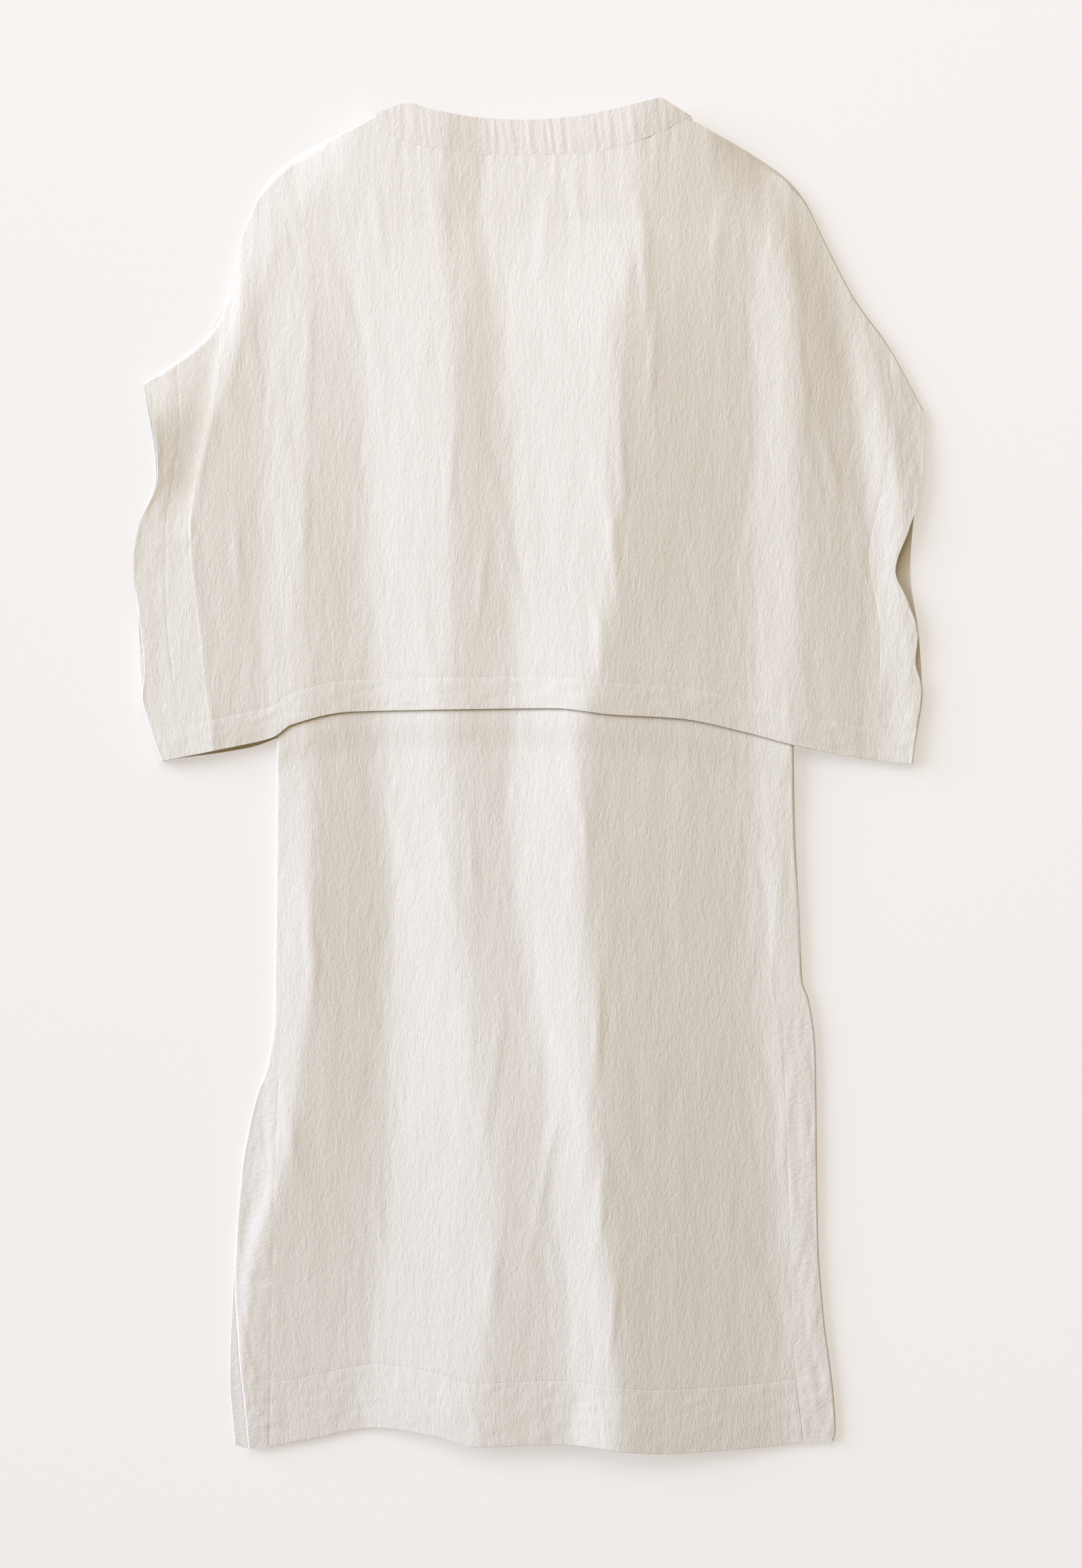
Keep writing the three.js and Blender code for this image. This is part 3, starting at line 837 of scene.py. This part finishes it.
class Wardrobe:
    """The materials of the garment, made once."""

    LINEN = LinenFinish(
        "washed linen", (0.742, 0.69, 0.628), (0.692, 0.64, 0.578), (2.4 * MM, 7.5 * MM), 0.42 * MM
    )
    BAND = LinenFinish(
        "doubled linen", (0.735, 0.675, 0.618), (0.685, 0.625, 0.568), (2.2 * MM, 5.0 * MM), 0.45 * MM
    )
    STRIP = LinenFinish(
        "turned linen", (0.74, 0.68, 0.622), (0.69, 0.63, 0.572), (4.0 * MM, 3.0 * MM), 0.42 * MM
    )

    def __init__(self) -> None:
        """Makes the cloths, by the record's slots, and the thread."""
        self.thread = ThreadFinish().material()
        self.cloth = {
            Slot.LINEN: self.LINEN.material(),
            Slot.NECK_BAND: self.BAND.material(),
            Slot.SLIT_FACING: self.STRIP.material(),
        }


# ---------------------------------------------------------------- cutting the cloth


def mesh_of(name: str, bm: bmesh.types.BMesh) -> bpy.types.Mesh:
    """A mesh with the faces of a bmesh, which is freed."""
    mesh = bpy.data.meshes.new(name)
    bm.to_mesh(mesh)
    bm.free()
    return mesh


def show(name: str, data: bpy.types.ID) -> bpy.types.Object:
    """A new object at the origin, linked into the scene."""
    made = bpy.data.objects.new(name, data)
    bpy.context.scene.collection.objects.link(made)
    return made


def lines_at(lines: Sequence[Line], index: Field, at: Field) -> Field:
    """The value of line number index at each place."""
    found = np.empty_like(at)
    for k in np.unique(index):
        chosen = index == k
        found[chosen] = lines[k](at[chosen])
    return found


@dataclass(frozen=True)
class Weave:
    """Places between lines that run down (x over y) and lines that run across (y over x).

    Attributes:
        down: The lines that run down, from the left.
        across: The lines that run across, from the neck down.
        crowd: How closely places crowd towards the outermost lines that run down; 1 is evenly.
        rounds: Rounds in which x and y are fitted to each other.
    """

    down: Sequence[Line]
    across: Sequence[Line]
    crowd: float = 1.5
    rounds: int = 30

    def at(self, u: Field, v: Field) -> tuple[Field, Field]:
        """Where a place falls on the ground.

        Args:
            u: Number of a line that runs down, and a share of the gap after it.
            v: The same for the lines that run across, from the neck down.

        Returns:
            x and y, in metres.
        """
        i = np.clip(np.ceil(u).astype(int) - 1, 0, len(self.down) - 2)
        j = np.clip(np.ceil(v).astype(int) - 1, 0, len(self.across) - 2)
        share = np.where(i == 0, (u - i) ** self.crowd, u - i)
        share = np.where(i == len(self.down) - 2, 1.0 - (1.0 - share) ** self.crowd, share)
        x, y = np.zeros_like(u), np.zeros_like(v)
        for _ in range(self.rounds):
            x = mix(lines_at(self.down, i, y), lines_at(self.down, i + 1, y), share)
            y = mix(lines_at(self.across, j, x), lines_at(self.across, j + 1, x), v - j)
        return x, y


@dataclass(frozen=True)
class Band:
    """Places on a neck band, ruled between its seam and its edge."""

    seam: Line
    edge: Line
    seam_ends: Span = (SEAM_LEFT[0] * MM, SEAM_RIGHT[0] * MM)
    edge_ends: Span = (EDGE_LEFT[0] * MM, EDGE_RIGHT[0] * MM)

    def at(self, u: Field, v: Field) -> tuple[Field, Field]:
        """Where a place falls: u from end to end and v from the edge to the seam, both 0 to 1."""
        low, high = mix(*self.seam_ends, u), mix(*self.edge_ends, u)
        return mix(high, low, v), mix(self.edge(high), self.seam(low), v)


@dataclass(frozen=True)
class Cut:
    """One piece of cloth.

    Attributes:
        node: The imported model's node that it stands for.
        weave: Where its cells lie.
        columns: Cells in each gap between the lines that run down, by gap.
        rows: Cells in each gap between the lines that run across, by gap.
        outer: Height of its outer face.
        wall: Its thickness.
        slot: The record's slot.
        keep: Whether a cell in a given column gap and row gap belongs to it.
        slide: How far its cloth moves to the right once its height is known.
    """

    node: str
    weave: Weave | Band
    columns: dict[int, int]
    rows: dict[int, int]
    outer: Height
    wall: float
    slot: Slot = Slot.LINEN
    keep: Callable[[int, int], bool] = lambda column, row: True
    slide: Height = lambda x, y: np.zeros_like(x)

    @staticmethod
    def places(gaps: dict[int, int]) -> Field:
        """Places of the grid's lines along one axis."""
        cells = [gap + k / count for gap, count in gaps.items() for k in range(count)]
        return np.array([*cells, max(gaps) + 1.0])

    def sew(self, wardrobe: Wardrobe) -> bpy.types.Object:
        """Makes the piece as a closed thin shell with rounded edges.

        Args:
            wardrobe: The materials.

        Returns:
            The finished piece, riding on the garment's body.
        """
        us, vs = self.places(self.columns), self.places(self.rows)
        bm = bmesh.new()
        bmesh.ops.create_grid(bm, x_segments=len(us) - 1, y_segments=len(vs) - 1, size=0.5)
        step_u, step_v = 1.0 / (len(us) - 1), 1.0 / (len(vs) - 1)
        dropped = []
        for face in bm.faces:
            middle = face.calc_center_median()
            column = int(us[int((middle.x + 0.5) / step_u)])
            row = int(vs[int((0.5 - middle.y) / step_v)])
            if not self.keep(column, row):
                dropped.append(face)
        bmesh.ops.delete(bm, geom=dropped, context="FACES")
        mesh = mesh_of(self.node + "_cloth", bm)
        points = np.empty(len(mesh.vertices) * 3)
        mesh.vertices.foreach_get("co", points)
        points = points.reshape(-1, 3)
        u = us[np.rint((points[:, 0] + 0.5) / step_u).astype(int)]
        v = vs[np.rint((0.5 - points[:, 1]) / step_v).astype(int)]
        x, y = self.weave.at(u, v)
        points = np.column_stack([x + self.slide(x, y), y, self.outer(x, y)])
        mesh.vertices.foreach_set("co", points.ravel())
        mesh.shade_smooth()
        mesh.materials.append(wardrobe.cloth[self.slot])
        piece = show(mesh.name, mesh)
        wall = piece.modifiers.new("wall", "SOLIDIFY")
        wall.thickness, wall.offset = self.wall, -1.0
        edge = piece.modifiers.new("edge", "BEVEL")
        edge.width, edge.segments, edge.profile = 0.3 * self.wall, 2, 0.5
        edge.limit_method, edge.angle_limit = "ANGLE", math.radians(55)
        edge.harden_normals, edge.loop_slide = True, False
        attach(piece, "root")
        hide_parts(self.node)
        return piece


# ---------------------------------------------------------------- the garment's parts


@dataclass
class Stitching:
    """Rows of stitches, each a small bead of thread on the cloth.

    Attributes:
        material: The thread.
        pitch: From one stitch to the next.
        bead: Half length, half width and half height of a stitch.
        sink: How deep a stitch is pulled into the cloth.
    """

    material: bpy.types.Material
    pitch: float = 3.1 * MM
    bead: tuple[float, float, float] = (0.95 * MM, 0.2 * MM, 0.16 * MM)
    sink: float = 0.06 * MM

    def sew(
        self, name: str, rows: Sequence[tuple[Field, Field]], outer: Height, slot: Slot
    ) -> bpy.types.Object:
        """Sews rows of stitches as one piece.

        Args:
            name: The piece's name.
            rows: The x and y of points along each row.
            outer: Height of the cloth's outer face.
            slot: The record's slot; not used.

        Returns:
            The stitches.
        """
        bm = bmesh.new()
        for x, y in rows:
            run = np.concatenate([[0.0], np.cumsum(np.hypot(np.diff(x), np.diff(y)))])
            middle = np.arange(self.pitch, run[-1] - self.pitch / 2, self.pitch)
            ends = [
                np.column_stack([sx, sy, outer(sx, sy)])
                for sx, sy in (
                    (np.interp(middle + side, run, x), np.interp(middle + side, run, y))
                    for side in (-self.bead[0], self.bead[0])
                )
            ]
            for start, end in zip(*ends):
                line = Vector(end - start)
                place = Matrix.Translation(Vector((start + end) / 2) - Vector((0, 0, self.sink)))
                turn = line.to_track_quat("X", "Z").to_matrix().to_4x4()
                bmesh.ops.create_icosphere(
                    bm, subdivisions=1, radius=1.0, matrix=place @ turn @ Matrix.Diagonal((*self.bead, 1.0))
                )
        mesh = mesh_of(name, bm)
        mesh.shade_smooth()
        mesh.materials.append(self.material)
        piece = show(name, mesh)
        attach(piece, "root")
        return piece


ROW_POINTS = 600


def along_x(line: Line, start: float, end: float, offset: float = 0.0) -> tuple[Field, Field]:
    """Points along a line that runs across, from start to end in millimetres, moved up by offset."""
    x = np.linspace(start * MM, end * MM, ROW_POINTS)
    return x, line(x) + offset


def along_y(line: Line, start: float, end: float, offset: float = 0.0) -> tuple[Field, Field]:
    """Points along a line that runs down, from start to end in millimetres, moved right by offset."""
    y = np.linspace(start * MM, end * MM, ROW_POINTS)
    return line(y) + offset, y


@dataclass
class BackCape:
    """The wide cape layer of the back, with its hem, its sleeve hems and the neck band.

    Attributes:
        wall: Thickness of the panel.
        hem_wall: Thickness of the hems and of the band.
        stitch_gap: Distance from a row of stitches to the seam beside it.
        cut: Flat size of the cloth, whose area is cut_area; neither is used.
    """

    wardrobe: Wardrobe
    hem: float = RELIEF.cape_hem
    wall: float = 1.0 * MM
    hem_wall: float = 1.5 * MM
    stitch_gap: float = 1.6 * MM
    cut: Span = (0.650, 0.545)
    cut_area: float = 0.302

    def build(self) -> list[bpy.types.Object]:
        """Makes the cape's pieces."""
        weave = Weave(
            down=[
                LINES.sleeve_edge_left, LINES.sleeve_stitch_left,
                lower(LINES.sleeve_fold, FOLD_STEP), LINES.sleeve_fold,
                constant(LINES.neck_left), constant(LINES.neck_right),
                LINES.sleeve_stitch_right, LINES.sleeve_edge_right,
            ],
            across=[
                LINES.neck_or_shoulder(LINES.neck_seam), lower(LINES.cape_hem, -self.hem), LINES.cape_hem,
            ],
        )
        panel = Cut(
            "back_cape", weave, {1: 13, 2: 5, 3: 80, 4: 142, 5: 88}, {0: 116},
            BACK_CAPE, self.wall, slide=TUCK,
        ).sew(self.wardrobe)
        hems = [
            Cut(node, weave, columns, rows, BACK_CAPE, self.hem_wall).sew(self.wardrobe)
            for node, columns, rows in (
                ("back_cape_hem", {1: 9, 2: 4, 3: 60, 4: 106, 5: 66}, {1: 14}),
                ("back_sleeve_hem_left", {0: 14}, {0: 120, 1: 10}),
                ("back_sleeve_hem_right", {6: 16}, {0: 120, 1: 10}),
            )
        ]
        band = Cut(
            "back_neck_band", Band(LINES.neck_seam, LINES.neck_edge), {0: 210}, {0: 20},
            BACK_BAND, self.hem_wall, Slot.NECK_BAND,
        ).sew(self.wardrobe)
        stitching = Stitching(self.wardrobe.thread)
        gap = self.stitch_gap
        stitches = stitching.sew(
            "back_cape_stitches",
            [
                along_x(LINES.cape_hem, -272, 278, self.hem - gap),
                along_y(LINES.sleeve_stitch_left, 42, 322, -gap),
                along_y(LINES.sleeve_stitch_right, 40, 326, gap),
            ],
            BACK_CAPE,
            Slot.LINEN,
        )
        band_stitches = stitching.sew(
            "neck_band_stitches", [along_x(LINES.neck_seam, -104, 108, gap)], BACK_BAND, Slot.NECK_BAND
        )
        return [panel, *hems, band, stitches, band_stitches]


@dataclass
class FrontCape:
    """The cape layer of the front, which lies on the ground under the rest, with its V neck band.

    Attributes:
        wall: Thickness of every piece.
        cut: Flat size of the cloth, whose area is cut_area; neither is used.
    """

    wardrobe: Wardrobe
    hem: float = RELIEF.cape_hem
    wall: float = 1.5 * MM
    cut: Span = (0.630, 0.530)
    cut_area: float = 0.262

    def build(self) -> list[bpy.types.Object]:
        """Makes the front cape's pieces."""
        weave = Weave(
            down=[
                LINES.front_sleeve_left, LINES.sleeve_stitch_left, constant(LINES.neck_left),
                constant(LINES.neck_right), LINES.sleeve_stitch_right, LINES.front_sleeve_right,
            ],
            across=[LINES.neck_or_shoulder(FRONT_SEAM), lower(LINES.front_hem, -self.hem), LINES.front_hem],
        )
        panel, *hems = [
            Cut(node, weave, columns, rows, FRONT_CAPE, self.wall).sew(self.wardrobe)
            for node, columns, rows in (
                ("front_cape", {1: 40, 2: 60, 3: 40}, {0: 90}),
                ("front_cape_hem", {1: 40, 2: 60, 3: 40}, {1: 8}),
                ("front_sleeve_hem_left", {0: 8}, {0: 90, 1: 8}),
                ("front_sleeve_hem_right", {4: 8}, {0: 90, 1: 8}),
            )
        ]
        band = Cut(
            "front_neck_band", Band(FRONT_SEAM, FRONT_EDGE), {0: 120}, {0: 12},
            FRONT_CAPE, self.wall, Slot.NECK_BAND,
        ).sew(self.wardrobe)
        return [panel, *hems, band]


@dataclass
class Body:
    """The long body of one side, with its hem and the facings of its side slits.

    Attributes:
        side: Either back or front.
        left: Its left edge.
        neck: Its neck line, which the cape covers.
        outer: Height of its outer face.
        columns: Cells across the left strip, the panel and the right strip.
        rows: Cells down the covered part, two parts of the step, above the slits, beside them, the hem.
        wall: Thickness of one layer.
        hem_wall: Thickness of the turned edges.
        cut: Flat size of the cloth, whose area is cut_area; neither is used.
        rests_on: The pieces that it lies on; not used.
        inset: How far its upper edge stays inside the neck line.
        covered_step: How far above the cape's hem its finer rows begin.
        stitch_gap: Distance from a row of stitches to the seam beside it.
    """

    wardrobe: Wardrobe
    side: str
    left: Line
    neck: Line
    outer: Height
    columns: tuple[int, int, int]
    rows: tuple[int, int, int, int, int, int]
    wall: float
    hem_wall: float
    cut: Span
    cut_area: float
    rests_on: Sequence[str] = ()
    hem: float = RELIEF.body_hem
    inset: float = 7 * MM
    covered_step: float = 6 * MM
    stitch_gap: float = 1.8 * MM

    def covered(self, x: Field) -> Field:
        """The body's upper edge, which stays inside the cape's outline."""
        at_neck = np.abs(x - NECK_MIDDLE) < NECK_HALF + self.inset
        under = np.where(at_neck, self.neck(x) - self.inset, np.inf)
        return np.minimum(LINES.shoulder(x) - 2 * self.inset, under)

    def piece(
        self, name: str, columns: Sequence[int], rows: Sequence[int], wall: float,
        slot: Slot = Slot.LINEN, keep: Callable[[int, int], bool] = lambda column, row: True,
        finer: int = 1,
    ) -> bpy.types.Object:
        """Cuts one piece of the body.

        Args:
            name: What it is.
            columns: The column gaps that it reaches over.
            rows: The row gaps that it reaches over.
            wall: Its thickness.
            slot: The record's slot.
            keep: Which of those gaps' cells belong to it.
            finer: How many times finer its columns are.

        Returns:
            The finished piece.
        """
        weave = Weave(
            down=[self.left, LINES.facing_left, LINES.facing_right, LINES.side_right],
            across=[
                self.covered, lower(LINES.cape_hem, -self.covered_step),
                lower(LINES.cape_hem, LAY.step[0]), lower(LINES.cape_hem, LAY.step[1]),
                LINES.slit_top, lower(LINES.bottom_hem, -self.hem), LINES.bottom_hem,
            ],
        )
        return Cut(
            f"{self.side}_{name}", weave,
            {k: self.columns[k] * finer for k in columns}, {k: self.rows[k] for k in rows},
            self.outer, wall, slot, keep,
        ).sew(self.wardrobe)

    def build(self) -> list[bpy.types.Object]:
        """Makes the body's pieces."""
        panel = self.piece(
            "body", (0, 1, 2), (0, 1, 2, 3, 4), self.wall,
            keep=lambda column, row: row < 4 or column == 1,
        )
        extra = [
            self.piece("body_hem", (1,), (5,), self.hem_wall),
            self.piece("slit_facing_left", (0,), (4, 5), self.hem_wall, Slot.SLIT_FACING, finer=2),
            self.piece("slit_facing_right", (2,), (4, 5), self.hem_wall, Slot.SLIT_FACING, finer=2),
        ]
        if self.side == "back":
            gap = self.stitch_gap
            extra.append(
                Stitching(self.wardrobe.thread).sew(
                    "back_body_stitches",
                    [
                        along_x(LINES.bottom_hem, -205, 214, self.hem - gap),
                        along_y(LINES.facing_left, -524, -250, -gap),
                        along_y(LINES.facing_right, -524, -190, gap),
                    ],
                    self.outer,
                    Slot.LINEN,
                )
            )
        return [panel, *extra]


# ---------------------------------------------------------------- the studio


@dataclass
class Studio:
    """A plain pale floor, soft light from the left and a camera straight above.

    Attributes:
        lens: Focal length in millimetres.
        sensor: The sensor's longer side in millimetres.
        view: Length of ground that the picture's longer side takes in.
        view_height: Height at which that length is taken.
        aim: The middle of the picture on the ground.
        key_from: Degrees from the garment's left towards its neck, and above the floor.
        key_spread: Degrees that the key light covers, seen from the garment.
        fill_colour: Colour of the even light from all round.
        lamp_at: Where the lamp beyond the neck stands.
        floor_half: Half the floor's side.
    """

    lens: float = 85.0
    sensor: float = 36.0
    view: float = 1.249
    view_height: float = 5 * MM
    aim: Span = (9.2 * MM, -7.0 * MM)
    key_from: Span = (20.0, 26.0)
    key_strength: float = 3.64
    key_colour: Colour = (0.86, 1.04, 1.36)
    key_spread: float = 48.0
    fill_colour: Colour = (1.31, 0.99, 0.42)
    fill_strength: float = 0.25
    lamp_at: tuple[float, float, float] = (-0.2, 1.5, 2.3)
    lamp_aim: tuple[float, float, float] = (0.0, 0.2, 0.0)
    lamp_size: float = 1.6
    lamp_power: float = 27.0
    lamp_colour: Colour = (1.0, 0.99, 0.98)
    floor_half: float = 14.0

    def camera(self) -> None:
        """Puts the camera straight above the garment."""
        data = bpy.data.cameras.new("camera")
        data.lens, data.sensor_width, data.sensor_fit = self.lens, self.sensor, "AUTO"
        camera = show("camera", data)
        camera.location = (*self.aim, self.view * self.lens / self.sensor + self.view_height)
        bpy.context.scene.camera = camera

    def floor(self) -> None:
        """Lays the floor under the garment."""
        bm = bmesh.new()
        bmesh.ops.create_grid(bm, x_segments=1, y_segments=1, size=self.floor_half)
        mesh = mesh_of("floor", bm)
        mesh.materials.append(FloorFinish().material())
        show("floor", mesh)

    def light(self, kind: str, name: str, energy: float, colour: Colour, away: Vector) -> bpy.types.Object:
        """Adds a light.

        Args:
            kind: The type of light.
            name: Its name.
            energy: Its strength or power.
            colour: Its colour.
            away: The direction from the garment towards it.

        Returns:
            The light's object.
        """
        data = bpy.data.lights.new(name, kind)
        data.energy, data.color = energy, colour
        light = show(name, data)
        light.rotation_euler = away.to_track_quat("Z", "Y").to_euler()
        return light

    def lights(self) -> None:
        """Sets the soft key light, a wide lamp beyond the neck and the even fill."""
        round_, up = (math.radians(angle) for angle in self.key_from)
        away = Vector((-math.cos(round_) * math.cos(up), math.sin(round_) * math.cos(up), math.sin(up)))
        key = self.light("SUN", "key", self.key_strength, self.key_colour, away)
        key.data.angle = math.radians(self.key_spread)
        away = Vector(self.lamp_at) - Vector(self.lamp_aim)
        lamp = self.light("AREA", "neck lamp", self.lamp_power, self.lamp_colour, away)
        lamp.data.size, lamp.location = self.lamp_size, self.lamp_at
        world = bpy.data.worlds.new("studio")
        world.use_nodes = True
        background = world.node_tree.nodes["Background"]
        background.inputs["Color"].default_value = (*self.fill_colour, 1.0)
        background.inputs["Strength"].default_value = self.fill_strength
        bpy.context.scene.world = world
        bpy.context.scene.view_settings.view_transform = "Standard"

    def build(self) -> None:
        """Sets up the whole studio."""
        self.camera()
        self.floor()
        self.lights()


def main() -> None:
    """Builds the studio and the garment in order, and reports each piece."""
    logging.basicConfig(level=logging.INFO, format="%(name)s %(message)s")
    Studio().build()
    wardrobe = Wardrobe()
    made: list[bpy.types.Object] = []
    made += FrontCape(wardrobe).build()
    made += Body(
        wardrobe, "front", LINES.front_side_left, FRONT_SEAM, FRONT_BODY,
        columns=(4, 66, 4), rows=(28, 2, 4, 36, 34, 8), wall=1.5 * MM, hem_wall=1.5 * MM,
        cut=(0.482, 1.046), cut_area=0.40, rests_on=["front_cape_cloth"],
    ).build()
    made += Body(
        wardrobe, "back", LINES.side_left, LINES.neck_seam, BACK_BODY,
        columns=(11, 226, 11), rows=(30, 4, 8, 62, 62, 26), wall=1.0 * MM, hem_wall=1.5 * MM,
        cut=(0.490, 1.020), cut_area=0.45, rests_on=["front_body_cloth"],
    ).build()
    made += BackCape(wardrobe).build()
    for piece in made:
        LOG.info("%s: %d faces", piece.name, len(piece.data.polygons))


if __name__ == "__main__":
    main()
